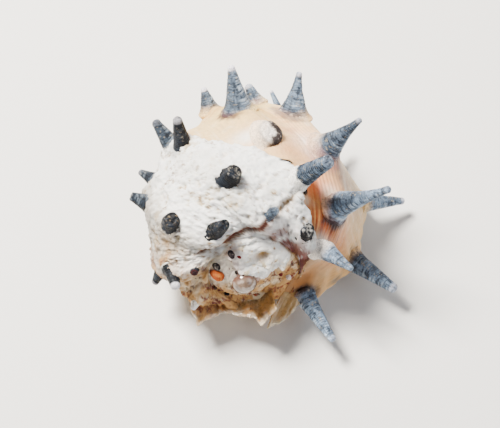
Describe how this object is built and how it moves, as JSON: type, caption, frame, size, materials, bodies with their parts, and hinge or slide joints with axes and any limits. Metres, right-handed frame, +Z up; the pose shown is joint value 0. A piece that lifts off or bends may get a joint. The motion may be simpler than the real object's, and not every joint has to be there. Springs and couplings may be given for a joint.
{
  "type": "prickly drupe snail",
  "caption": "Still model of a small spiny sea snail: a round coiled shell with rows of dark blunt spines, a flared lip, and the foot, head and tentacles tucked beneath.",
  "frame": {"origin": "centre of the flat sole of the foot", "axes": "+Z up, +Y the way the snail faces, +X to the animal's right, where the outer lip is"},
  "size_m": [0.0247, 0.0257, 0.0182],
  "materials": {
    "crusted_shell": "chalky crust with dark rough spines",
    "new_shell": "smooth peach and orange shell with grey ringed spines",
    "callus": "smooth glazed callus",
    "flesh": "moist soft body",
    "eye": "wet black",
    "horn": "thin brown horn"
  },
  "bodies": {
    "root": {"shell_body_whorl": "crusted_shell", "shell_spire": "crusted_shell", "shell_outer_lip": "new_shell", "columella": "callus", "foot": "flesh", "head": "flesh", "siphon": "flesh", "tentacle_left": "flesh", "tentacle_right": "flesh", "eye_left": "eye", "eye_right": "eye", "operculum": "horn"}
  },
  "joints": []
}
